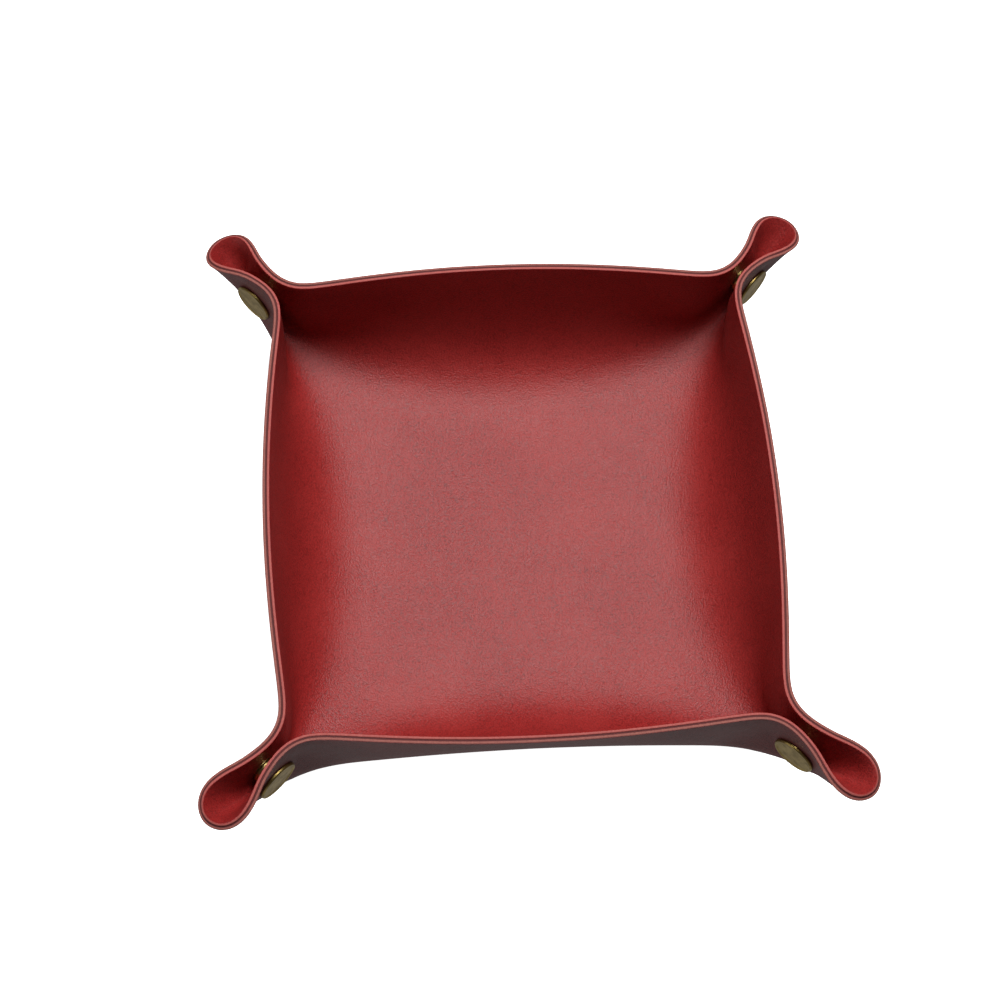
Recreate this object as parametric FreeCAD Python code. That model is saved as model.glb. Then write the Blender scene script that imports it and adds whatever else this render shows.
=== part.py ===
"""Folding dice tray: a square two-ply leather sheet, pinched at its corners by four snap fasteners.

The sheet is drawn in its folded state as panels that meet along straight bends: a floor, four
walls, and at each corner two snap tabs and two ear halves. Every panel has a lining ply inside
and a facing ply outside. Millimetres, +Z up, origin under the middle of the floor.
"""

import FreeCAD
import Part
import math
import os

from FreeCAD import Vector

# Sheet, laid flat
SHEET_SIDE = 200.0
SHEET_THICKNESS = 2.0
GLUE_LINE = 0.1
SEAM_GAP = 0.3
CREASE_GAP = 0.8
UNDERSIDE_SKIM = 0.02

# Floor: flat in the middle, lifting towards the bends
BEND_Y = 63.0
BEND_RISE = 8.7
BEND_FLAT = 63.2
LIFT_POWER = 8.0

# Walls, at the middle of a side and at its ends
WALL_END_Y = 69.4
WALL_RUN_UP = SHEET_SIDE / 2 - BEND_FLAT
MID_SLOPES = (50.0, 83.0)
MID_BEND_RADIUS = 40.0
END_SLOPES = (25.0, 90.0)
END_BEND_RADIUS = 7.0
END_HALF_WIDTH = 62.0
BLEND_POWER = 1.5
TRIM_FOOT_X = 57.4
TRIM_TOP_X = 66.0
TRIM_REACH_X = 80.0
TRIM_REACH_Y = 90.0

# Corners, where p runs outwards along the diagonal and q is the distance from the diagonal plane
TAB_OFFSET = 2.5
TAB_BEND_RADIUS = 4.0
TAB_BEND_HALF_ANGLE = math.radians(22.5)
TAB_BOTTOM_Z = 18.8
RIM_DROP_START_P = 112.0
RIM_DROP = 3.0
CREASE_FOOT = (98.8, 13.2)
CREASE_HEAD_P = 120.0
EAR_TIP_P = 124.5
EAR_FLARE = 3.3
FLARE_LEAN = math.radians(25)
FLARE_CLEARANCE = 0.2
SPINE_FOOT_P = 100.0
SPINE_REF = (97.9, 14.2)
SPINE_SLOPE = 0.62
SPINE_CURVE = 0.015
SPINE_GAP = 0.9

# Snap fasteners
SNAP_P = 103.6
SNAP_Z = 29.5
CAP_RADIUS = 6.25
CAP_THICKNESS = 1.0
CAP_RIM_ROLL = 0.45
CAP_FACE_RECESS = 0.18
BARREL_RADIUS = 1.45
BARREL_BORE = 0.8
LEATHER_HOLE_RADIUS = 1.6
SOCKET_FLANGE_RADIUS = 4.8
SOCKET_RING_RADIUS = 4.2
SOCKET_BORE_RADIUS = 2.9
SOCKET_DEPTH = 2.4
SPRING_WIRE_RADIUS = 0.25
SPRING_WIRE_OFFSET = 2.45
SPRING_WIRE_REACH = 3.6
SPRING_WIRE_DEPTH = 1.3
SPRING_GROOVE_CLEARANCE = 0.05
STUD_BASE_RADIUS = 3.8
STUD_NECK_RADIUS = 1.6
STUD_HEAD_RADIUS = 1.9
STUD_REACH = 2.1
POST_RADIUS = 4.5
POST_THICKNESS = 0.7
PLATE_METAL = 0.4
SEAT_CLEARANCE = 0.02

# Spans of the spline surfaces along their two directions
FLOOR_SPANS = (24, 24)
WALL_SPANS = (36, 20)
TAB_SPANS = (12, 10)
EAR_SPANS = (8, 10)

HALF = SHEET_THICKNESS / 2
PLIES = {"facing": (-HALF, -GLUE_LINE / 2), "lining": (GLUE_LINE / 2, HALF)}
SIDES = ("back", "left", "front", "right")
CORNERS = ("back_right", "back_left", "front_left", "front_right")
CAP_SIDES = {"back_right": "right", "back_left": "left", "front_left": "front", "front_right": "front"}
DIAGONAL = Vector(1, 1, 0) / math.sqrt(2)
ACROSS = Vector(-1, 1, 0) / math.sqrt(2)
UP = Vector(0, 0, 1)


def mix(a, b, share):
    """Value between a and b."""
    return a + (b - a) * share


def smooth(value):
    """Smooth step from 0 to 1."""
    value = max(0.0, min(1.0, value))
    return value * value * (3 - 2 * value)


def corner_point(p, q, z):
    """Point from its place along, across and above the corner's diagonal."""
    return DIAGONAL * p + ACROSS * q + UP * (z + HALF)


# ---------------------------------------------------------------- middle surfaces of the panels
def floor_point(s, t):
    """Middle of the floor sheet; s and t run over its two sides."""
    reach = BEND_Y - SEAM_GAP / 2
    x = mix(-reach, reach, s)
    y = mix(-reach, reach, t)
    lift_x = abs(x / BEND_Y) ** LIFT_POWER
    lift_y = abs(y / BEND_Y) ** LIFT_POWER
    return Vector(x, y, BEND_RISE * (lift_x + lift_y - lift_x * lift_y) + HALF)


def wall_profile(length, share):
    """Height and outward place on a wall, this far up from its bend, from mid side to end."""
    slope_0 = math.radians(mix(MID_SLOPES[0], END_SLOPES[0], share))
    slope_1 = math.radians(mix(MID_SLOPES[1], END_SLOPES[1], share))
    radius = mix(MID_BEND_RADIUS, END_BEND_RADIUS, share)
    spread = END_BEND_RADIUS * (math.sin(math.radians(END_SLOPES[1])) - math.sin(math.radians(END_SLOPES[0])))
    run = share * (WALL_END_Y - BEND_Y - spread) / math.cos(math.radians(END_SLOPES[0]))
    y = BEND_Y
    z = BEND_RISE
    step = min(length, run)
    y += step * math.cos(slope_0)
    z += step * math.sin(slope_0)
    length -= step
    step = min(length, radius * (slope_1 - slope_0))
    slope = slope_0 + step / radius
    y += radius * (math.sin(slope) - math.sin(slope_0))
    z += radius * (math.cos(slope_0) - math.cos(slope))
    length -= step
    return y + length * math.cos(slope), z + length * math.sin(slope)


RIM_Z = wall_profile(WALL_RUN_UP, 1)[1]
TAB_TANGENT = TAB_BEND_RADIUS * math.tan(TAB_BEND_HALF_ANGLE)
CREASE_X = WALL_END_Y - math.sqrt(2) * TAB_OFFSET
WALL_STRAIGHT = CREASE_X - TAB_TANGENT
TAB_TANGENT_P = (CREASE_X + WALL_END_Y) / math.sqrt(2) + TAB_TANGENT
WALL_HALF_LENGTH = WALL_STRAIGHT + TAB_BEND_RADIUS * TAB_BEND_HALF_ANGLE


def wall_point(s, t):
    """Middle of the back wall's sheet; s runs along it and t runs up."""
    reach = WALL_HALF_LENGTH - SEAM_GAP / 2
    along = mix(-reach, reach, s)
    share = smooth(abs(along) / END_HALF_WIDTH) ** BLEND_POWER
    y, z = wall_profile(mix(SEAM_GAP / 2, WALL_RUN_UP, t), share)
    turn = max(0.0, abs(along) - WALL_STRAIGHT) / TAB_BEND_RADIUS
    x = min(abs(along), WALL_STRAIGHT) + TAB_BEND_RADIUS * math.sin(turn)
    y += TAB_BEND_RADIUS * (1 - math.cos(turn))
    return Vector(math.copysign(x, along), y, z + HALF)


def rim_height(p):
    """Height of the ear's edge at this place along the diagonal."""
    beyond = max(0.0, p - RIM_DROP_START_P) / (EAR_TIP_P - RIM_DROP_START_P)
    return RIM_Z - RIM_DROP * beyond ** 2


def crease_point(t):
    """Place along and above the diagonal of the crease between tab and ear."""
    head_z = rim_height(CREASE_HEAD_P)
    return mix(CREASE_FOOT[0], CREASE_HEAD_P, t), mix(CREASE_FOOT[1], head_z, t)


def tab_offset(p, z):
    """Distance of the tab's sheet from the diagonal plane: bend, flat seat, then flare."""
    if p < TAB_TANGENT_P:
        return TAB_OFFSET + TAB_BEND_RADIUS - math.sqrt(TAB_BEND_RADIUS ** 2 - (TAB_TANGENT_P - p) ** 2)
    along = math.cos(FLARE_LEAN)
    up = math.sin(FLARE_LEAN)
    clear = CAP_RADIUS + FLARE_CLEARANCE
    far = (CREASE_HEAD_P - SNAP_P) * along + (RIM_Z - SNAP_Z) * up - clear
    beyond = (p - SNAP_P) * along + (z - SNAP_Z) * up - clear
    return TAB_OFFSET + EAR_FLARE * (max(0.0, beyond) / far) ** 2


def tab_point(s, t):
    """Middle of a snap tab's sheet; s runs from the wall to the ear and t runs up."""
    start_p = TAB_TANGENT_P - TAB_BEND_RADIUS * math.sin(TAB_BEND_HALF_ANGLE) + SEAM_GAP / 2
    low_share = (TAB_BOTTOM_Z - CREASE_FOOT[1]) / (rim_height(CREASE_HEAD_P) - CREASE_FOOT[1])
    end_p, end_z = crease_point(mix(low_share, 1, t))
    p = mix(start_p, end_p - CREASE_GAP / 2, s)
    z = mix(mix(TAB_BOTTOM_Z, RIM_Z, t), end_z, s)
    return corner_point(p, tab_offset(p, z), z)


def ear_point(s, t):
    """Middle of an ear half's sheet; s runs from the crease round to the spine and t runs up."""
    p, z = crease_point(t)
    p += CREASE_GAP / 2
    q = tab_offset(p, z)
    spine_p = mix(SPINE_FOOT_P, EAR_TIP_P, t)
    rise = spine_p - SPINE_REF[0]
    spine_z = SPINE_REF[1] + SPINE_SLOPE * rise + SPINE_CURVE * rise ** 2
    turn = s * math.pi / 2
    across = SPINE_GAP + (q - SPINE_GAP) * math.cos(turn)
    return corner_point(mix(p, spine_p, math.sin(turn)), across, mix(z, spine_z, math.sin(turn)))


# ---------------------------------------------------------------- solids
def normal_at(surface, s, t):
    """Unit normal of a middle surface."""
    step = 1e-4
    along_s = surface(min(1, s + step), t) - surface(max(0, s - step), t)
    along_t = surface(s, min(1, t + step)) - surface(s, max(0, t - step))
    return along_s.cross(along_t).normalize()


def offset_surface(surface, offset, steps):
    """Spline surface at a distance from a middle surface."""
    rows = []
    for i in range(steps[0] + 1):
        row = []
        for j in range(steps[1] + 1):
            s = i / steps[0]
            t = j / steps[1]
            row.append(surface(s, t) + normal_at(surface, s, t) * offset)
        rows.append(row)
    spline = Part.BSplineSurface()
    spline.interpolate(rows)
    return spline


def slab(surface, near, far, steps):
    """Closed solid between two offsets of a middle surface."""
    skins = [offset_surface(surface, offset, steps) for offset in (near, far)]
    faces = [skin.toShape() for skin in skins]
    u0, u1, v0, v1 = skins[0].bounds()
    for pick in ("uIso", "vIso"):
        for end in (0, 1):
            edges = []
            for skin in skins:
                bounds = skin.bounds()
                value = bounds[end] if pick == "uIso" else bounds[2 + end]
                edges.append(getattr(skin, pick)(value).toShape())
            faces.append(Part.makeRuledSurface(edges[0], edges[1]))
    sewn = Part.makeCompound(faces)
    sewn.sewShape(1e-3)
    solid = Part.Solid(sewn.Shells[0])
    if solid.Volume < 0:
        solid.reverse()
    return solid


def flat_bottomed(solid):
    """The solid with everything below the table's plane skimmed off, which leaves a flat face there."""
    below = Part.makeBox(SHEET_SIDE, SHEET_SIDE, HALF, Vector(-SHEET_SIDE / 2, -SHEET_SIDE / 2, -HALF))
    return solid.cut(below).Solids[0]


def turned(profile, offset, direction):
    """Solid of revolution about the snap's axis, from (radius, distance) points."""
    points = [Vector(radius, 0, offset + direction * reach) for radius, reach in profile]
    face = Part.Face(Part.makePolygon(points + [points[0]]))
    solid = face.revolve(Vector(0, 0, 0), UP, 360)
    if solid.Volume < 0:
        solid.reverse()
    solid.rotate(Vector(0, 0, 0), Vector(1, 0, 0), -90)
    solid.rotate(Vector(0, 0, 0), UP, 45)
    solid.translate(corner_point(SNAP_P, 0, SNAP_Z))
    return solid


def side_place(shape, wall, mirrored):
    """Copy of a shape of the back wall's right end, placed at a wall's other end or another wall."""
    placed = shape.mirror(Vector(0, 0, 0), Vector(1, 0, 0)) if mirrored else shape.copy()
    placed.rotate(Vector(0, 0, 0), UP, 90 * SIDES.index(wall))
    return placed


def wall_end_trim():
    """Wedge that clears the wall's lower corner, where the bends run together."""
    top = TAB_BOTTOM_Z + HALF
    points = [Vector(TRIM_FOOT_X, 0, 0), Vector(TRIM_TOP_X, 0, top), Vector(TRIM_REACH_X, 0, top),
              Vector(TRIM_REACH_X, 0, 0)]
    wedge = Part.Face(Part.makePolygon(points + [points[0]])).extrude(Vector(0, TRIM_REACH_Y, 0))
    return [wedge, wedge.mirror(Vector(0, 0, 0), Vector(1, 0, 0))]


def leather_hole():
    """Hole through a tab for the snap's barrel."""
    base = corner_point(SNAP_P, 0, SNAP_Z)
    return Part.makeCylinder(LEATHER_HOLE_RADIUS, 3 * SHEET_THICKNESS, base, ACROSS)


# ---------------------------------------------------------------- snap fastener pieces
OUTSIDE = TAB_OFFSET + HALF + SEAT_CLEARANCE
INSIDE = TAB_OFFSET - HALF - SEAT_CLEARANCE


def cap():
    """Round cap with a rolled rim and a hollow barrel through the leather."""
    profile = [(BARREL_BORE, -SHEET_THICKNESS - 0.5), (BARREL_RADIUS, -SHEET_THICKNESS - 0.5), (BARREL_RADIUS, 0),
               (CAP_RADIUS - 0.2, 0), (CAP_RADIUS, 0.25), (CAP_RADIUS, 0.65), (CAP_RADIUS - 0.25, CAP_THICKNESS),
               (CAP_RADIUS - CAP_RIM_ROLL - 0.2, CAP_THICKNESS),
               (CAP_RADIUS - CAP_RIM_ROLL - 0.5, CAP_THICKNESS - CAP_FACE_RECESS),
               (0, CAP_THICKNESS - CAP_FACE_RECESS), (0, PLATE_METAL), (BARREL_BORE, PLATE_METAL)]
    return turned(profile, OUTSIDE, 1)


def socket():
    """Female half: a flanged ring open towards the stud, with its two spring wires."""
    profile = [(BARREL_RADIUS + 0.05, 0), (SOCKET_FLANGE_RADIUS, 0), (SOCKET_FLANGE_RADIUS, PLATE_METAL),
               (SOCKET_RING_RADIUS, PLATE_METAL + 0.3), (SOCKET_RING_RADIUS, SOCKET_DEPTH - 0.2),
               (SOCKET_RING_RADIUS - 0.3, SOCKET_DEPTH), (SOCKET_BORE_RADIUS + 0.1, SOCKET_DEPTH),
               (SOCKET_BORE_RADIUS, SOCKET_DEPTH - 0.2), (SOCKET_BORE_RADIUS, PLATE_METAL),
               (BARREL_RADIUS + 0.05, PLATE_METAL)]
    ring = turned(profile, INSIDE, -1)
    springs = []
    length = 2 * math.sqrt(SPRING_WIRE_REACH ** 2 - SPRING_WIRE_OFFSET ** 2)
    groove_radius = SPRING_WIRE_RADIUS + SPRING_GROOVE_CLEARANCE
    for side in (-1, 1):
        height = SNAP_Z + side * SPRING_WIRE_OFFSET
        start = corner_point(SNAP_P - length / 2, INSIDE - SPRING_WIRE_DEPTH, height)
        springs.append(Part.makeCylinder(SPRING_WIRE_RADIUS, length, start, DIAGONAL))
        groove = Part.makeCylinder(groove_radius, length + 0.2, start - DIAGONAL * 0.1, DIAGONAL)
        ring = ring.cut(groove)
    return Part.makeCompound(ring.Solids + springs)


def stud():
    """Male half: a base plate and a waisted stud that enters the socket."""
    profile = [(BARREL_RADIUS - 0.3, PLATE_METAL), (BARREL_RADIUS + 0.05, PLATE_METAL), (BARREL_RADIUS + 0.05, 0),
               (STUD_BASE_RADIUS, 0), (STUD_BASE_RADIUS, 0.3), (STUD_BASE_RADIUS - 0.3, 0.5),
               (STUD_NECK_RADIUS, 0.6), (STUD_NECK_RADIUS, 1.1), (STUD_HEAD_RADIUS, 1.5),
               (STUD_HEAD_RADIUS - 0.2, STUD_REACH - 0.15), (STUD_HEAD_RADIUS - 0.7, STUD_REACH),
               (BARREL_RADIUS - 0.3, STUD_REACH)]
    return turned(profile, -INSIDE, 1)


def post():
    """Rivet on the outside of the stud's tab, its barrel crimped in the stud."""
    profile = [(BARREL_BORE, -SHEET_THICKNESS - 0.35), (BARREL_RADIUS, -SHEET_THICKNESS - 0.35), (BARREL_RADIUS, 0),
               (POST_RADIUS - 0.1, 0), (POST_RADIUS, 0.2), (POST_RADIUS - 0.3, POST_THICKNESS - 0.1),
               (POST_RADIUS - 1.0, POST_THICKNESS), (BARREL_RADIUS + 0.6, POST_THICKNESS - 0.15),
               (BARREL_BORE, PLATE_METAL - 0.1)]
    return turned(profile, -OUTSIDE, -1)


# ---------------------------------------------------------------- build
def save(node, shape):
    """Write one node and report it."""
    shape.exportStep("parts/" + node + ".step")
    print(node, round(shape.Volume, 1), shape.isValid(), len(shape.Solids))


def corner_ends(corner):
    """The two walls that meet at a corner: (wall, wall end is mirrored)."""
    index = CORNERS.index(corner)
    return ((SIDES[index], False), (SIDES[index - 1], True))


def build():
    """Make every node of the tray."""
    os.makedirs("parts", exist_ok=True)
    trims = wall_end_trim()
    for ply, (near, far) in PLIES.items():
        save("floor_" + ply, flat_bottomed(slab(floor_point, near - UNDERSIDE_SKIM, far, FLOOR_SPANS)))
        wall = slab(wall_point, near, far, WALL_SPANS).cut(trims)
        tab = slab(tab_point, near, far, TAB_SPANS).cut(leather_hole())
        ear = slab(ear_point, near, far, EAR_SPANS)
        for side in SIDES:
            save("wall_" + side + "_" + ply, side_place(wall.Solids[0], side, False))
        for corner in CORNERS:
            for side, mirrored in corner_ends(corner):
                name = corner + "_" + side + "_" + ply
                save("tab_" + name, side_place(tab.Solids[0], side, mirrored))
                save("ear_" + name, side_place(ear, side, mirrored))


def build_snaps():
    """Make the four snap fasteners."""
    pieces = {"cap": cap(), "socket": socket(), "stud": stud(), "post": post()}
    for corner in CORNERS:
        ends = corner_ends(corner)
        for piece, shape in pieces.items():
            side, mirrored = next(end for end in ends if end[0] == CAP_SIDES[corner])
            save("snap_" + piece + "_" + corner, side_place(shape, side, mirrored))


build()
build_snaps()
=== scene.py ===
"""Looks of the folding dice tray: one square two-ply leather sheet, folded by its four corner snaps.

The sheet's folded shape is relaxed here from the flat cut: it bends easily, hardly stretches, lies
on the table in the middle, and is pulled together where the snaps close. The shape is then cut into
one piece for each panel.
Sheet coordinates u and v run from -100 to 100 mm over the flat cut. Work is in mm until a mesh is made.
"""

import math

import bpy
import numpy as np
from mathutils import Matrix, Vector


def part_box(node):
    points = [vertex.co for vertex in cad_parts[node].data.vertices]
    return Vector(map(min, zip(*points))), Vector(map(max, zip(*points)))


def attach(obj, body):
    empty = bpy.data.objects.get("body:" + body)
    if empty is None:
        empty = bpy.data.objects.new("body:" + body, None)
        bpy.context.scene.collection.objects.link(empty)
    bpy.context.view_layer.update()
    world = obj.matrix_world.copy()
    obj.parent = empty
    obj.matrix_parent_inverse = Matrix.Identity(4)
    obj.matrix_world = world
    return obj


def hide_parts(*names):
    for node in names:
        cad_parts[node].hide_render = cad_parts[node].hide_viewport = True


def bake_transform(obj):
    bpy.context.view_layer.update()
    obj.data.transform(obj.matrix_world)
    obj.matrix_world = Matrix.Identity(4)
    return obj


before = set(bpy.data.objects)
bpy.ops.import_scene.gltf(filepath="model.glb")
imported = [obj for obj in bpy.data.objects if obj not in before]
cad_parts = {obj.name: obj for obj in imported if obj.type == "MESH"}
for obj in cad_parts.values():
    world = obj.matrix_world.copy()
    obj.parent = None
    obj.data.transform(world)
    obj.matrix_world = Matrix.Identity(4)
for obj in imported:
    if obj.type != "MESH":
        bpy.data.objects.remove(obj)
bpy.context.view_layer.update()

MM = 0.001
ROOT2 = math.sqrt(2)

# Sheet
SHEET_HALF = 100.0
HALF_THICKNESS = 1.0
CORNER_RADIUS = 14.7
FLAT_REACH = 22.0
SNAP_AT = (73.0, 88.5)
SNAP_DISC = 5.0
PINCH = 2.5

# Borders of the pieces, in sheet coordinates
FLOOR_REACH = 50
BAND = 6
BEND_END = 66
WALL_END = 60
CREASE_HEAD = SHEET_HALF - CORNER_RADIUS
TAB_COLUMNS = 24
EAR_COLUMNS = 22

SIDES = ("back", "left", "front", "right")
CORNERS = ("back_right", "back_left", "front_left", "front_right")


def smoothstep(x):
    x = np.clip(x, 0, 1)
    return x * x * (3 - 2 * x)


# ---------------------------------------------------------------- relaxing the sheet
# Grid cells in half the sheet's width, closing stages, and rounds in each stage
FULL_RELAXATION = (32, 9, 20)


class FoldedSheet:
    """One eighth of the sheet, 0 <= u <= v, with mirrors at x = 0 and x = y."""

    # Stiffnesses, and the shares of the penalty against passing the table and touching
    STRETCH = 300.0
    BEND = 60.0
    PENALTY = 1e3
    TABLE_SHARE = 0.3
    TOUCH_SHARE = 0.1
    # The two halves of a corner stay this far from its middle plane, and less beside the fold
    ROOM = 1.0
    ROOM_SLOPE = 0.7
    # Start of the relaxation: walls leaning up from half way out, ears drawn in, snaps nearly open
    FIRST_LEAN = math.radians(35)
    FIRST_WIDTH = 0.85
    FIRST_CLOSING = 0.15
    # Damping and stopping of the solver
    FIRST_DAMPING = 1e-3
    LEAST_DAMPING = 1e-6
    MOST_DAMPING = 1e4
    DAMPING_SCALE = 1e3
    SHORTEST_STEP = 1e-3
    SETTLED_ENERGY = 1e-4
    SETTLED_MOVE = 0.02

    def __init__(self, cells):
        self.cells = cells
        self.step = SHEET_HALF / cells
        self.index = {}
        for j in range(cells + 1):
            for i in range(j + 1):
                self.index[(i, j)] = len(self.index)
        self.nodes = np.array(list(self.index))
        self.count = len(self.nodes)
        self.uv = self.nodes * self.step
        self.make_bending()
        self.make_springs()
        self.make_mirrors()
        self.make_snap()

    def reach(self, i, j):
        """The node that stands for grid point (i, j), and the mirror that takes it there."""
        mirror = np.eye(3)
        swap = np.eye(3)
        if i < 0:
            i, mirror = -i, np.diag([-1.0, 1, 1]) @ mirror
        if j < 0:
            j, mirror = -j, np.diag([1.0, -1, 1]) @ mirror
        if i > j:
            i, j, swap = j, i, np.eye(3)[[1, 0, 2]]
        return self.index[(i, j)], mirror @ swap

    def make_bending(self):
        """Dense matrix of the sheet's Laplacian, weighted by area."""
        n, h = self.cells, self.step
        rows = np.zeros((3 * self.count, 3 * self.count))
        for row, (i, j) in enumerate(self.nodes):
            if j < n:
                stencil = [(i, j, -4), (i + 1, j, 1), (i - 1, j, 1), (i, j + 1, 1), (i, j - 1, 1)]
                weight = 1.0
            elif i < n:
                stencil = [(i, j, -2), (i + 1, j, 1), (i - 1, j, 1)]
                weight = 0.5
            else:
                continue
            weight *= (0.5 if i == 0 else 1.0) * (0.5 if i == j else 1.0)
            for a, b, value in stencil:
                place, mirror = self.reach(a, b)
                block = rows[3 * row:3 * row + 3, 3 * place:3 * place + 3]
                block += mirror * value * math.sqrt(weight) / h
        self.bending = rows * self.BEND
        self.bending_square = self.bending.T @ self.bending

    def make_springs(self):
        """Edge and diagonal springs as index rows, signed blocks and rest lengths."""
        places, blocks, lengths = [], [], []
        for i, j in self.nodes:
            for di, dj in ((1, 0), (0, 1), (1, 1), (-1, 1)):
                if i + di > self.cells or j + dj > self.cells:
                    continue
                near, near_mirror = self.reach(i, j)
                far, far_mirror = self.reach(i + di, j + dj)
                places.append([3 * near, 3 * near + 1, 3 * near + 2, 3 * far, 3 * far + 1, 3 * far + 2])
                blocks.append(np.hstack([-near_mirror, far_mirror]))
                lengths.append(self.step * math.hypot(di, dj))
        self.places = np.array(places)
        self.blocks = np.array(blocks)
        self.lengths = np.array(lengths)

    def make_mirrors(self):
        """Rows that hold points on the mirror planes, and the middle on the table."""
        rows = []
        for t, (i, j) in enumerate(self.nodes):
            if i == 0:
                rows.append({3 * t: 1.0})
            if i == j:
                rows.append({3 * t: 1.0, 3 * t + 1: -1.0})
            if j == 0:
                rows.append({3 * t + 1: 1.0})
            if self.uv[t, 1] < FLAT_REACH:
                rows.append({3 * t + 2: 1.0})
        self.held = np.zeros((len(rows), 3 * self.count))
        for k, row in enumerate(rows):
            for place, value in row.items():
                self.held[k, place] = value * self.PENALTY

    def make_snap(self):
        """Rows that measure how far the snap's disc is from the corner's middle plane."""
        away = np.hypot(self.uv[:, 0] - SNAP_AT[0], self.uv[:, 1] - SNAP_AT[1])
        share = np.clip(1 - (away - SNAP_DISC) / self.step, 0, 1)
        on = np.flatnonzero(share > 0)
        self.snap = np.zeros((len(on), 3 * self.count))
        self.snap[np.arange(len(on)), 3 * on] = -share[on] * self.PENALTY / ROOT2
        self.snap[np.arange(len(on)), 3 * on + 1] = share[on] * self.PENALTY / ROOT2
        self.grip = share[on] * self.PENALTY

    def forces(self, x):
        """Springs' spans and lengths at x, and the residuals that are not linear in it."""
        spans = np.einsum("eab,eb->ea", self.blocks, x[self.places])
        long = np.linalg.norm(spans, axis=1)
        stretch = self.STRETCH * (long - self.lengths) / np.sqrt(self.lengths)
        under = np.minimum(x[2::3], 0) * self.PENALTY * self.TABLE_SHARE
        apart = (x[1::3] - x[0::3]) / ROOT2
        room = np.minimum(self.ROOM, (self.uv[:, 1] - self.uv[:, 0]) / ROOT2 * self.ROOM_SLOPE)
        closed = np.minimum(apart - room, 0) * self.PENALTY * self.TOUCH_SHARE
        return spans, long, stretch, under, closed

    def energy(self, x, parts, target):
        _, _, stretch, under, closed = parts
        bend = self.bending @ x
        hold = self.held @ x
        grip = self.snap @ x - target
        return 0.5 * sum(r @ r for r in (stretch, bend, hold, grip, under, closed))

    def newton(self, x, parts, target, damping):
        """Damped Newton move from x."""
        size = 3 * self.count
        spans, long, stretch, under, closed = parts
        scale = self.STRETCH / np.sqrt(self.lengths) / long
        slopes = np.einsum("ea,eab,e->eb", spans, self.blocks, scale)
        entries = (self.places[:, :, None] * size + self.places[:, None, :]).ravel()
        outer = (slopes[:, :, None] * slopes[:, None, :]).ravel()
        matrix = self.fixed + np.bincount(entries, outer, size * size).reshape(size, size)
        slope = self.fixed @ x - self.snap.T @ target
        slope += np.bincount(self.places.ravel(), (slopes * stretch[:, None]).ravel(), size)
        low = 3 * np.flatnonzero(under < 0) + 2
        matrix[low, low] += (self.PENALTY * self.TABLE_SHARE) ** 2
        slope[2::3] += under * self.PENALTY * self.TABLE_SHARE
        shut = np.flatnonzero(closed < 0)
        push = self.PENALTY * self.TOUCH_SHARE / ROOT2
        slope[3 * shut] -= closed[shut] * push
        slope[3 * shut + 1] += closed[shut] * push
        for a, b, sign in ((0, 0, 1), (1, 1, 1), (0, 1, -1), (1, 0, -1)):
            matrix[3 * shut + a, 3 * shut + b] += sign * push * push
        matrix[np.arange(size), np.arange(size)] += damping * self.DAMPING_SCALE
        return -np.linalg.solve(matrix, slope)

    def solve(self, x, pinch, rounds):
        """Settles the sheet with its snaps held at this distance from the corner's middle plane."""
        target = self.grip * pinch
        parts = self.forces(x)
        energy = self.energy(x, parts, target)
        damping = self.FIRST_DAMPING
        for _ in range(rounds):
            move = self.newton(x, parts, target, damping)
            share = 1.0
            while share > self.SHORTEST_STEP:
                new_parts = self.forces(x + share * move)
                new_energy = self.energy(x + share * move, new_parts, target)
                if new_energy < energy:
                    break
                share *= 0.5
            else:
                damping *= 10
                if damping > self.MOST_DAMPING:
                    break
                continue
            x = x + share * move
            still = energy - new_energy < self.SETTLED_ENERGY * energy
            still = still and np.abs(share * move).max() < self.SETTLED_MOVE
            parts, energy = new_parts, new_energy
            damping = max(damping / 4, self.LEAST_DAMPING) if share == 1.0 else damping * 2
            if still:
                break
        return x

    def fold(self, stages, rounds):
        """The folded sheet as a square grid of points over the whole cut."""
        self.fixed = self.bending_square + self.held.T @ self.held + self.snap.T @ self.snap
        u, v = self.uv[:, 0], self.uv[:, 1]
        bend = SHEET_HALF / 2
        over = np.maximum(v - bend, 0)
        x = np.zeros((self.count, 3))
        x[:, 0] = np.minimum(u, bend) + np.maximum(u - bend, 0) * self.FIRST_WIDTH
        x[:, 1] = np.minimum(v, bend) + over * math.cos(self.FIRST_LEAN)
        x[:, 2] = over * math.sin(self.FIRST_LEAN)
        x = x.ravel()
        open_pinch = (SNAP_AT[1] - SNAP_AT[0]) / ROOT2
        for share in np.linspace(self.FIRST_CLOSING, 1, stages):
            x = self.solve(x, open_pinch * (1 - share) + PINCH * share, rounds)
        x = self.solve(x, PINCH, 3 * rounds).reshape(-1, 3)
        n = self.cells
        grid = np.zeros((2 * n + 1, 2 * n + 1, 3))
        for (i, j), place in self.index.items():
            for a, b, point in ((i, j, x[place]), (j, i, x[place][[1, 0, 2]])):
                for sa in (1, -1):
                    for sb in (1, -1):
                        grid[n + sa * a, n + sb * b] = point * (sa, sb, 1)
        return grid


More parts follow.
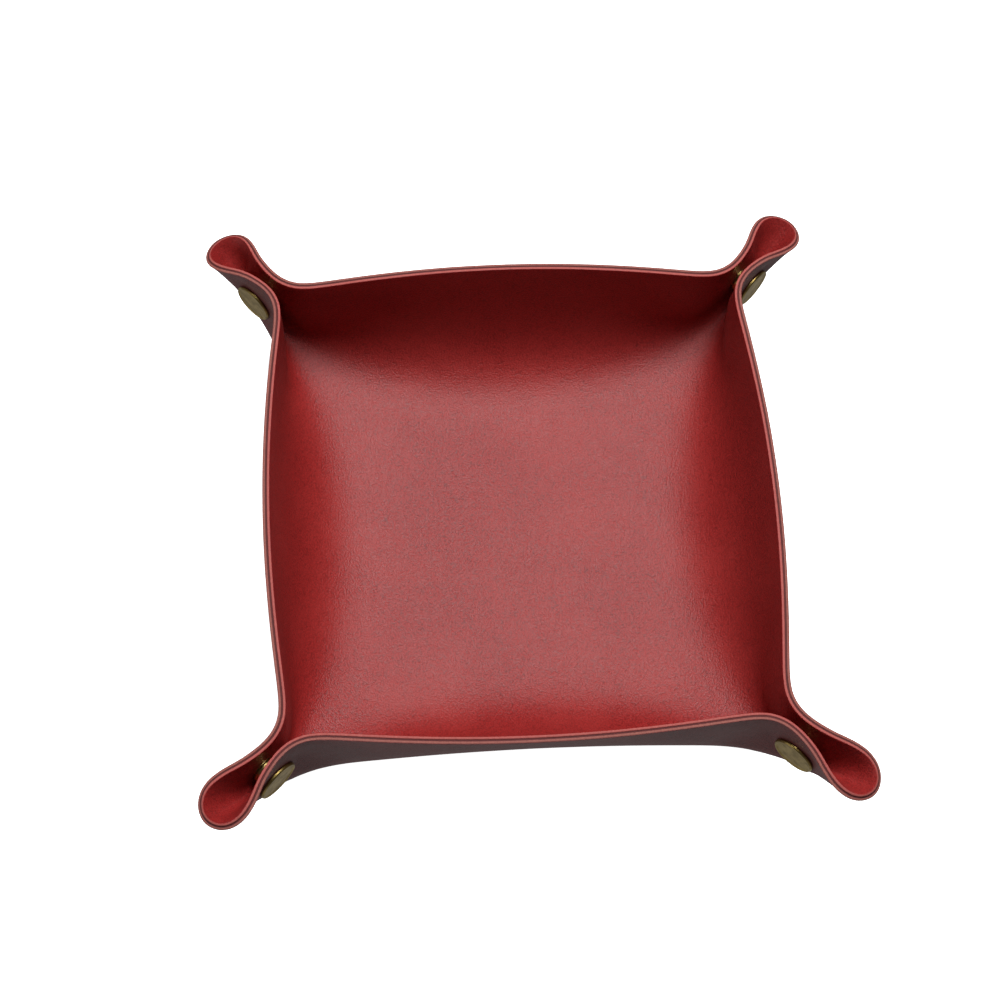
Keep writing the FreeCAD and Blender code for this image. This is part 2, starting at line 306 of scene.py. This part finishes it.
class Spline:
    """Smooth surface through a square grid of points, asked for by sheet coordinates."""

    def __init__(self, grid):
        count = len(grid)
        system = np.zeros((count + 2, count + 2))
        for i in range(count):
            system[i + 1, i:i + 3] = 1 / 6, 4 / 6, 1 / 6
        system[0, :3] = 1, -2, 1
        system[-1, -3:] = 1, -2, 1
        solved = np.linalg.inv(system)[:, 1:-1]
        self.knots = np.einsum("ai,bj,ijc->abc", solved, solved, grid)
        self.cells = count - 1

    def weights(self, place):
        t = (place / SHEET_HALF + 1) * self.cells / 2
        cell = np.clip(np.floor(t).astype(int), 0, self.cells - 1)
        f = t - cell
        shares = ((1 - f) ** 3, 3 * f ** 3 - 6 * f ** 2 + 4, -3 * f ** 3 + 3 * f ** 2 + 3 * f + 1, f ** 3)
        return cell, [share / 6 for share in shares]

    def __call__(self, u, v):
        i, across = self.weights(u)
        j, along = self.weights(v)
        out = np.zeros((len(u), 3))
        for a in range(4):
            for b in range(4):
                out += self.knots[i + a, j + b] * (across[a] * along[b])[:, None]
        return out


cells, stages, rounds = FULL_RELAXATION
relaxed = Spline(FoldedSheet(cells).fold(stages, rounds))

# ---------------------------------------------------------------- the finished middle surface
# How much further out and up each ear's tip stands than the relaxed sheet's
EAR_REACH = {"back_right": 1.2, "back_left": -0.4, "front_left": 1.9, "front_right": 3.0}
EAR_LIFT = {"back_right": -1.8, "back_left": -2.6, "front_left": -1.8, "front_right": -1.8}
EAR_START = 105.0
EAR_LENGTH = 18.0
EAR_POWER = 1.5
# Outward bow of the walls between their corners
WALL_BOW = 1.4
WALL_BOW_REACH = 62
WALL_HEIGHT = 43.0
# Flat seat of the snaps, from the CAD cap's place along the corner's diagonal
SEAT_RADIUS = 5.6
SEAT_FADE = 3.5
cap_low, cap_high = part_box("snap_cap_back_right")
cap_middle = (Vector(cap_low) + Vector(cap_high)) / (2 * MM)
SNAP_P = (cap_middle.x + cap_middle.y) / ROOT2
SNAP_Z = cap_middle.z
# Half the spacing of the points that give a slope
PROBE = 0.25


def middle(u, v):
    """Points of the folded sheet's middle surface, in mm above the table."""
    points = relaxed(u, v)
    points[:, 2] += HALF_THICKNESS
    side = np.where(np.abs(u) > np.abs(v), 0, 1)
    along = points[np.arange(len(u)), 1 - side]
    bow = WALL_BOW * np.clip(1 - (along / WALL_BOW_REACH) ** 2, 0, None)
    bow *= np.clip(points[:, 2] / WALL_HEIGHT, 0, 1)
    points[np.arange(len(u)), side] += bow * np.sign(np.where(side == 0, u, v))
    sx = np.where(u < 0, -1.0, 1.0)
    sy = np.where(v < 0, -1.0, 1.0)
    x, y = points[:, 0] * sx, points[:, 1] * sy
    p, q, z = (x + y) / ROOT2, (y - x) / ROOT2, points[:, 2]
    reach = np.zeros(len(u))
    lift = np.zeros(len(u))
    for corner in CORNERS:
        here = (sy > 0) == corner.startswith("back")
        here &= (sx > 0) == corner.endswith("right")
        reach[here] = EAR_REACH[corner]
        lift[here] = EAR_LIFT[corner]
    beyond = np.clip((p - EAR_START) / EAR_LENGTH, 0, None) ** EAR_POWER
    p = p + beyond * reach
    z = z + beyond * lift
    away = np.hypot(p - SNAP_P, z - SNAP_Z)
    seat = 1 - smoothstep((away - SEAT_RADIUS) / SEAT_FADE)
    q = q + seat * (np.sign(q) * PINCH - q)
    points[:, 0] = (p - q) / ROOT2 * sx
    points[:, 1] = (p + q) / ROOT2 * sy
    points[:, 2] = z
    return points


def surface(u, v):
    """Middle points and unit normals towards the lining."""
    along = middle(u + PROBE, v) - middle(u - PROBE, v)
    across = middle(u, v + PROBE) - middle(u, v - PROBE)
    normals = np.cross(along, across)
    normals /= np.linalg.norm(normals, axis=1)[:, None]
    return middle(u, v), normals


# ---------------------------------------------------------------- materials
def put(tree, slot, value):
    """Sets an input to a value, or joins another node's output to it."""
    if isinstance(value, bpy.types.NodeSocket):
        tree.links.new(value, slot)
    else:
        slot.default_value = value


def node(tree, kind, **settings):
    """New node; settings whose names are inputs go to inputs, the rest to properties."""
    made = tree.nodes.new(kind)
    for key, value in settings.items():
        if hasattr(made, key):
            setattr(made, key, value)
        else:
            put(tree, made.inputs[key.replace("_", " ")], value)
    return made


def maths(tree, operation, *values, vector=False, clamp=False):
    """Output of a Math node, or of a Vector Math node."""
    made = tree.nodes.new("ShaderNodeVectorMath" if vector else "ShaderNodeMath")
    made.operation = operation
    if clamp:
        made.use_clamp = True
    for slot, value in zip(made.inputs, values):
        put(tree, slot, value)
    return made.outputs[0]


def mixed(tree, share, a, b):
    """Colour between a, at share 0, and b, at share 1."""
    made = tree.nodes.new("ShaderNodeMix")
    made.data_type = "RGBA"
    for slot, value in zip((made.inputs[0], made.inputs[6], made.inputs[7]), (share, a, b)):
        put(tree, slot, value)
    return made.outputs[2]


def colour(red, green, blue):
    """Linear colour from display values of 0 to 255."""
    def linear(c):
        c /= 255
        return c / 12.92 if c < 0.04045 else ((c + 0.055) / 1.055) ** 2.4
    return (linear(red), linear(green), linear(blue), 1)


def new_material(name):
    material = bpy.data.materials.new(name)
    material.use_nodes = True
    tree = material.node_tree
    tree.nodes.clear()
    output = tree.nodes.new("ShaderNodeOutputMaterial")
    shader = tree.nodes.new("ShaderNodeBsdfPrincipled")
    tree.links.new(shader.outputs[0], output.inputs[0])
    return material, tree, shader.inputs


def sheet_place(tree, shift):
    """Place on the flat sheet in mm, moved by shift so that two plies differ."""
    where = node(tree, "ShaderNodeUVMap", uv_map="sheet").outputs[0]
    offset = (shift, shift * 0.37, shift * 0.71)
    return maths(tree, "MULTIPLY_ADD", where, (2 * SHEET_HALF,) * 3, offset, vector=True)


# Leather: distances in mm, shares of a colour or height from 0 to 1
PEBBLE_WARP = 0.8
PEBBLE_TOP = 0.9
SHADE_OFFSET = -0.52
MOTTLE_SHARE = 0.24
WEAR_START = 0.42
WEAR_GAIN = 0.9
MOTTLE_GLOSS = 0.12
BUMP_DEPTH = 0.1 * MM
LEATHER_SPECULAR = 0.47


def leather(name, base, deep, worn, shift, roughness):
    """Pebbled coated leather: fine cells, soft mottling, a satin coat, paler patches of wear."""
    material, tree, inputs = new_material(name)
    place = sheet_place(tree, shift)
    warp = node(tree, "ShaderNodeTexNoise", Vector=place, Scale=1.3, Detail=2.0).outputs["Color"]
    bent = maths(tree, "MULTIPLY_ADD", warp, (PEBBLE_WARP,) * 3, place, vector=True)
    pebble = node(tree, "ShaderNodeTexVoronoi", Vector=bent, feature="SMOOTH_F1", Scale=1.9,
                  Smoothness=0.3).outputs["Distance"]
    fine = node(tree, "ShaderNodeTexNoise", Vector=place, Scale=3.4, Detail=3.0, Roughness=0.7).outputs[0]
    broad = node(tree, "ShaderNodeTexNoise", Vector=place, Scale=0.03, Detail=3.0, Roughness=0.55).outputs[0]
    mottle = node(tree, "ShaderNodeTexNoise", Vector=place, Scale=0.3, Detail=4.0, Roughness=0.6).outputs[0]
    height = maths(tree, "ADD", fine, maths(tree, "SUBTRACT", PEBBLE_TOP, pebble))
    shade = maths(tree, "ADD", height, SHADE_OFFSET)
    shade = maths(tree, "ADD", shade, maths(tree, "MULTIPLY", mottle, MOTTLE_SHARE))
    wear = maths(tree, "MULTIPLY", maths(tree, "SUBTRACT", broad, WEAR_START), WEAR_GAIN, clamp=True)
    put(tree, inputs["Base Color"], mixed(tree, wear, mixed(tree, shade, deep, base), worn))
    rough = maths(tree, "MULTIPLY_ADD", mottle, MOTTLE_GLOSS, roughness - MOTTLE_GLOSS / 2)
    put(tree, inputs["Roughness"], rough)
    bump = node(tree, "ShaderNodeBump", Strength=1.0, Distance=BUMP_DEPTH, Height=height)
    put(tree, inputs["Normal"], bump.outputs[0])
    put(tree, inputs["Specular IOR Level"], LEATHER_SPECULAR)
    return material


def cut_edge(name, base, deep, shift):
    """Raw cut edge of a ply, fibrous and matt."""
    material, tree, inputs = new_material(name)
    place = sheet_place(tree, shift)
    fibre = node(tree, "ShaderNodeTexNoise", Vector=place, Scale=2.5, Detail=4.0, Roughness=0.7).outputs[0]
    put(tree, inputs["Base Color"], mixed(tree, fibre, deep, base))
    bump = node(tree, "ShaderNodeBump", Strength=0.5, Distance=BUMP_DEPTH, Height=fibre)
    put(tree, inputs["Normal"], bump.outputs[0])
    put(tree, inputs["Roughness"], 0.75)
    return material


TARNISH_GAIN = 1.6
TARNISH_OFFSET = -0.35
TARNISH_GLOSS = 0.2


def metal(name, light, dark, roughness):
    """Antique brass: clouds of dark, duller tarnish and fine pits."""
    material, tree, inputs = new_material(name)
    where = node(tree, "ShaderNodeTexCoord").outputs["Object"]
    cloud = node(tree, "ShaderNodeTexNoise", Vector=where, Scale=420.0, Detail=4.0, Roughness=0.6).outputs[0]
    speck = node(tree, "ShaderNodeTexNoise", Vector=where, Scale=2600.0, Detail=2.0).outputs[0]
    share = maths(tree, "MULTIPLY_ADD", cloud, TARNISH_GAIN, TARNISH_OFFSET, clamp=True)
    put(tree, inputs["Base Color"], mixed(tree, share, dark, light))
    rough = maths(tree, "MULTIPLY_ADD", cloud, -TARNISH_GLOSS, roughness + TARNISH_GLOSS / 2)
    put(tree, inputs["Roughness"], rough)
    bump = node(tree, "ShaderNodeBump", Strength=0.25, Distance=0.03 * MM, Height=speck)
    put(tree, inputs["Normal"], bump.outputs[0])
    put(tree, inputs["Metallic"], 1.0)
    return material


# Order of the sheet's materials in each mesh
LINING, FACING, LINING_EDGE, GLUE, FACING_EDGE = range(5)
sheet_materials = (
    leather("lining", colour(163, 40, 38), colour(107, 20, 19), colour(174, 58, 54), 0.0, 0.46),
    leather("facing", colour(136, 60, 58), colour(78, 34, 34), colour(150, 78, 76), 53.0, 0.5),
    cut_edge("lining_edge", colour(186, 98, 90), colour(138, 54, 50), 11.0),
    cut_edge("glue_line", colour(96, 26, 26), colour(60, 14, 14), 23.0),
    cut_edge("facing_edge", colour(166, 98, 86), colour(108, 56, 50), 37.0))

# ---------------------------------------------------------------- cutting the sheet into pieces
# Section of the cut edge: (place through the thickness, bulge outwards), from lining to facing
EDGE_SECTION = ((1.0, 0.0), (0.88, 0.1), (0.55, 0.16), (0.28, 0.08), (0.16, -0.14),
                (-0.16, -0.14), (-0.28, 0.08), (-0.55, 0.16), (-0.88, 0.1), (-1.0, 0.0))
GLUE_HALF = 0.25
PLY_FACE = 0.9


def edge_material(a, b):
    """Material of a strip of the cut edge between two places through the thickness."""
    place = (a + b) / 2
    if abs(place) < GLUE_HALF:
        return GLUE
    if abs(place) > PLY_FACE:
        return LINING if place > 0 else FACING
    return LINING_EDGE if place > 0 else FACING_EDGE


def open_border(faces):
    """Directed edges that only one face has."""
    sided = {(a, b) for face in faces for a, b in zip(face, face[1:] + face[:1])}
    return [(a, b) for face in faces for a, b in zip(face, face[1:] + face[:1]) if (b, a) not in sided]


def make_piece(name, uv, faces, on_rim):
    """Mesh object of both plies over these faces, closed all round, with the cut edge along the rim."""
    points, normals = surface(uv[:, 0], uv[:, 1])
    border = open_border(faces)
    rim = [(a, b) for a, b in border if on_rim[a] and on_rim[b]]
    outwards = np.zeros((len(uv), 3))
    for a, b in rim:
        for end in (a, b):
            outwards[end] += np.cross(points[b] - points[a], normals[end])
    lengths = np.linalg.norm(outwards, axis=1)
    outwards[lengths > 0] /= lengths[lengths > 0][:, None]

    count = len(uv)
    vertices = [points + normals * HALF_THICKNESS, points - normals * HALF_THICKNESS]
    polygons = [tuple(face) for face in faces] + [tuple(count + k for k in reversed(face)) for face in faces]
    loop_normals = [normals[k] for face in faces for k in face]
    loop_normals += [-normals[k] for face in faces for k in reversed(face)]
    materials = [LINING] * len(faces) + [FACING] * len(faces)

    inner = EDGE_SECTION[1:-1]
    sections = {}
    total = 2 * count
    for k in sorted({end for edge in rim for end in edge}):
        vertices.append(np.array([points[k] + normals[k] * a + outwards[k] * b for a, b in inner]))
        sections[k] = [k] + list(range(total, total + len(inner))) + [count + k]
        total += len(inner)
    section = np.array(EDGE_SECTION)
    slopes = np.gradient(section, axis=0)
    for a, b in border:
        if not (on_rim[a] and on_rim[b]):
            polygons.append((a, count + a, count + b, b))
            flat = np.cross(points[b] - points[a], normals[a])
            loop_normals += [flat / np.linalg.norm(flat)] * 4
            materials.append(GLUE)
            continue
        for k in range(len(section) - 1):
            polygons.append((sections[a][k], sections[a][k + 1], sections[b][k + 1], sections[b][k]))
            for end, at in ((a, k), (a, k + 1), (b, k + 1), (b, k)):
                through, out = slopes[at]
                normal = outwards[end] * -through + normals[end] * out
                loop_normals.append(normal / np.linalg.norm(normal))
            materials.append(edge_material(section[k, 0], section[k + 1, 0]))

    mesh = bpy.data.meshes.new(name)
    mesh.from_pydata((np.concatenate(vertices) * MM).tolist(), [], polygons)
    mesh.polygons.foreach_set("material_index", materials)
    mesh.polygons.foreach_set("use_smooth", [True] * len(polygons))
    everywhere = np.zeros((total, 2))
    everywhere[:count] = uv
    everywhere[count:2 * count] = uv
    for k, row in sections.items():
        everywhere[row[1:-1]] = uv[k]
    layer = mesh.uv_layers.new(name="sheet")
    corners = np.zeros(len(mesh.loops), int)
    mesh.loops.foreach_get("vertex_index", corners)
    layer.data.foreach_set("uv", ((everywhere[corners] + SHEET_HALF) / (2 * SHEET_HALF)).ravel())
    mesh.normals_split_custom_set([tuple(n) for n in loop_normals])
    mesh.update()
    for material in sheet_materials:
        mesh.materials.append(material)
    piece = bpy.data.objects.new(name, mesh)
    bpy.context.scene.collection.objects.link(piece)
    return piece, everywhere


def turned_uv(uv, wall, mirrored):
    """Sheet coordinates of the back wall's right end, taken to another end or wall."""
    u, v = uv[:, 0] * (-1 if mirrored else 1), uv[:, 1]
    for _ in range(SIDES.index(wall)):
        u, v = -v, u
    return np.stack([u, v], 1)


def local(uv, wall, mirrored):
    """Back wall's right-end coordinates of nodes on any wall."""
    u, v = uv[:, 0], uv[:, 1]
    for _ in range(SIDES.index(wall)):
        u, v = v, -u
    return (-u if mirrored else u), v


def grid_faces(rows, columns, mirrored=False, fan=False):
    """Faces of a grid of nodes numbered row by row; with fan, row 0 is drawn together to one point."""
    faces = []
    for i in range(rows):
        for j in range(columns):
            a = i * (columns + 1) + j
            face = [a, a + 1, a + columns + 2, a + columns + 1]
            if fan and i == 0:
                face = [0, face[2], face[3]]
            faces.append(face[::-1] if mirrored else face)
    return faces


def drop_unused(uv, faces, on_rim):
    """Leaves out nodes that no face uses."""
    used = sorted({k for face in faces for k in face})
    number = {k: n for n, k in enumerate(used)}
    return uv[used], [[number[k] for k in face] for face in faces], on_rim[used]


def floor_grid():
    """Floor: the middle square and a band along each diagonal as far as the bends' meeting points."""
    span = np.arange(-BEND_END, BEND_END + 1)
    number = len(span)
    uv = np.array([(u, v) for u in span for v in span], float)
    faces = []
    for i in range(number - 1):
        for j in range(number - 1):
            u, v = span[i] + 0.5, span[j] + 0.5
            off = abs(abs(u) - abs(v))
            whole = off < BAND or max(abs(u), abs(v)) < FLOOR_REACH
            if not whole and off > BAND:
                continue
            # Cells on the band's border keep only their corners inside it, which makes triangles
            face = []
            for di, dj in ((0, 0), (1, 0), (1, 1), (0, 1)):
                if whole or abs(abs(span[i + di]) - abs(span[j + dj])) <= BAND:
                    face.append((i + di) * number + j + dj)
            faces.append(face)
    return drop_unused(uv, faces, np.zeros(len(uv), bool))


def wall_grid():
    """A wall with the bend at its foot, narrower at the foot."""
    rows = int(SHEET_HALF) - FLOOR_REACH
    columns = 2 * WALL_END
    uv = []
    for i in range(rows + 1):
        v = FLOOR_REACH + i
        reach = min(v - BAND, WALL_END)
        uv += [(reach * (j / WALL_END - 1), v) for j in range(columns + 1)]
    uv = np.array(uv, float)
    return uv, grid_faces(rows, columns), uv[:, 1] == SHEET_HALF


def crease_u(v):
    """Where the crease between tab and ear lies."""
    return BEND_END + (CREASE_HEAD - BEND_END) * (v - BEND_END) / (SHEET_HALF - BEND_END)


def tab_grid(mirrored):
    """From the wall's end to the crease."""
    rows = int(SHEET_HALF) - BEND_END
    uv = []
    for i in range(rows + 1):
        v = BEND_END + i
        uv += [(WALL_END + (crease_u(v) - WALL_END) * j / TAB_COLUMNS, v) for j in range(TAB_COLUMNS + 1)]
    uv = np.array(uv, float)
    return uv, grid_faces(rows, TAB_COLUMNS, mirrored), uv[:, 1] == SHEET_HALF


def ear_grid(mirrored):
    """From the crease round to the diagonal, fanned from where the bends meet."""
    rows = int(SHEET_HALF) - BEND_END
    uv = []
    for i in range(rows + 1):
        for j in range(EAR_COLUMNS + 1):
            turn = math.pi / 4 * j / EAR_COLUMNS
            rim = (CREASE_HEAD + CORNER_RADIUS * math.sin(turn), CREASE_HEAD + CORNER_RADIUS * math.cos(turn))
            share = i / rows
            uv.append([BEND_END + (c - BEND_END) * share for c in rim])
    uv = np.array(uv, float)
    on_rim = np.arange(len(uv)) >= rows * (EAR_COLUMNS + 1)
    return drop_unused(uv, grid_faces(rows, EAR_COLUMNS, mirrored, fan=True), on_rim)


def blended(piece):
    """Bakes the piece's placement into its mesh."""
    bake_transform(piece)


def declare(name, uv, diagonal=False):
    """Hides the CAD parts for both plies of the panel that the piece stands for."""
    corners = uv * MM
    if diagonal:
        corners = np.stack([corners.sum(axis=1), corners[:, 1] - corners[:, 0]], 1) / ROOT2
    points = middle(uv[:, 0], uv[:, 1]) * MM
    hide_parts(name + "_lining", name + "_facing")


def build_floor():
    uv, faces, on_rim = floor_grid()
    piece, _ = make_piece("sheet_floor", uv, faces, on_rim)
    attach(piece, "floor")
    declare("floor", uv)


def build_wall(side):
    flat, faces, on_rim = wall_grid()
    uv = turned_uv(flat, side, False)
    name = "wall_" + side
    piece, everywhere = make_piece("sheet_" + name, uv, faces, on_rim)
    u, v = local(everywhere, side, False)
    blended(piece)
    declare(name, uv)


def build_tab(corner, side, mirrored):
    flat, faces, on_rim = tab_grid(mirrored)
    uv = turned_uv(flat, side, mirrored)
    name = "tab_" + corner + "_" + side
    piece, everywhere = make_piece("sheet_" + name, uv, faces, on_rim)
    u, v = local(everywhere, side, mirrored)
    blended(piece)
    declare(name, uv)


def build_ear(corner, side, mirrored):
    flat, faces, on_rim = ear_grid(mirrored)
    uv = turned_uv(flat, side, mirrored)
    name = "ear_" + corner + "_" + side
    piece, everywhere = make_piece("sheet_" + name, uv, faces, on_rim)
    u, v = local(everywhere, side, mirrored)
    blended(piece)
    declare(name, uv, diagonal=True)


build_floor()
for side in SIDES:
    build_wall(side)
for index, corner in enumerate(CORNERS):
    ends = ((SIDES[index], False), (SIDES[index - 1], True))
    for side, mirrored in ends:
        build_tab(corner, side, mirrored)
    for side, mirrored in ends:
        build_ear(corner, side, mirrored)

antique = metal("antique_brass", colour(204, 178, 108), colour(126, 104, 58), 0.38)
inner_brass = metal("inner_brass", colour(206, 182, 118), colour(140, 118, 72), 0.28)
for name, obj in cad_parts.items():
    if name.startswith("snap_"):
        inside = "socket" in name or "stud" in name
        for slot in obj.material_slots:
            slot.material = inner_brass if inside else antique


# ---------------------------------------------------------------- stage, light and camera
GROUND_HALF = 4.0
GROUND_Z = -0.0002
# Light from the sky and from the table, and the soft border between them about the horizon
SKY_STRENGTH = 0.06
TABLE_STRENGTH = 0.32
HORIZON = 0.1
CAMERA_AZIMUTH = -9.48
CAMERA_ELEVATION = 67.15
CAMERA_ROLL = math.radians(6.55)
CAMERA_DISTANCE = 0.5396
CAMERA_TARGET = Vector((-0.00358, 0.01546, 0.001))
CAMERA_SENSOR = 36
CAMERA_LENS = 63.2


def towards(azimuth, elevation):
    """Direction from the tray, in degrees; azimuth 0 is in front of it and 90 to its right."""
    a, e = math.radians(azimuth), math.radians(elevation)
    return Vector((math.sin(a) * math.cos(e), -math.cos(a) * math.cos(e), math.sin(e)))


def area_light(name, azimuth, elevation, distance, size, power):
    """Soft box that faces the tray."""
    data = bpy.data.lights.new(name, "AREA")
    data.shape = "RECTANGLE"
    data.size, data.size_y = size
    data.energy = power
    lamp = bpy.data.objects.new(name, data)
    back = towards(azimuth, elevation)
    lamp.location = back * distance
    lamp.rotation_mode = "QUATERNION"
    lamp.rotation_quaternion = back.to_track_quat("Z", "Y")
    bpy.context.scene.collection.objects.link(lamp)


def add_ground():
    """White floor that glows evenly and throws no light on the tray."""
    h, z = GROUND_HALF, GROUND_Z
    mesh = bpy.data.meshes.new("ground")
    mesh.from_pydata([(-h, -h, z), (h, -h, z), (h, h, z), (-h, h, z)], [], [(0, 1, 2, 3)])
    ground = bpy.data.objects.new("ground", mesh)
    bpy.context.scene.collection.objects.link(ground)
    paper, tree, inputs = new_material("paper")
    put(tree, inputs["Base Color"], (0.93, 0.93, 0.93, 1))
    put(tree, inputs["Roughness"], 0.9)
    put(tree, inputs["Specular IOR Level"], 0.0)
    put(tree, inputs["Emission Color"], (1, 1, 1, 1))
    put(tree, inputs["Emission Strength"], 1.0)
    mesh.materials.append(paper)
    ground.visible_diffuse = False
    ground.visible_glossy = False


def add_world():
    """Even white light, stronger from below, where the white table would throw it back."""
    world = bpy.data.worlds.new("studio")
    world.use_nodes = True
    tree = world.node_tree
    sky = tree.nodes["Background"]
    direction = node(tree, "ShaderNodeTexCoord").outputs["Generated"]
    up = node(tree, "ShaderNodeSeparateXYZ", Vector=direction).outputs["Z"]
    strength = node(tree, "ShaderNodeMapRange", Value=up, From_Min=HORIZON, From_Max=-HORIZON,
                    To_Min=SKY_STRENGTH, To_Max=TABLE_STRENGTH)
    put(tree, sky.inputs["Strength"], strength.outputs[0])
    put(tree, sky.inputs["Color"], (1, 1, 1, 1))
    bpy.context.scene.world = world


def add_camera():
    data = bpy.data.cameras.new("camera")
    data.sensor_width = CAMERA_SENSOR
    data.lens = CAMERA_LENS
    camera = bpy.data.objects.new("camera", data)
    back = towards(CAMERA_AZIMUTH, CAMERA_ELEVATION)
    right = towards(CAMERA_AZIMUTH + 90, 0)
    up = back.cross(right)
    rolled_right = right * math.cos(CAMERA_ROLL) + up * math.sin(CAMERA_ROLL)
    rolled_up = up * math.cos(CAMERA_ROLL) - right * math.sin(CAMERA_ROLL)
    turn = Matrix((rolled_right, rolled_up, back)).transposed().to_4x4()
    camera.matrix_world = Matrix.Translation(CAMERA_TARGET + back * CAMERA_DISTANCE) @ turn
    bpy.context.scene.collection.objects.link(camera)
    bpy.context.scene.camera = camera


add_ground()
area_light("overhead", azimuth=160, elevation=76, distance=1.1, size=(0.5, 0.42), power=15.0)
area_light("side", azimuth=-72, elevation=12, distance=1.2, size=(0.6, 0.4), power=2.2)
add_world()
add_camera()
bpy.context.scene.view_settings.view_transform = "Standard"
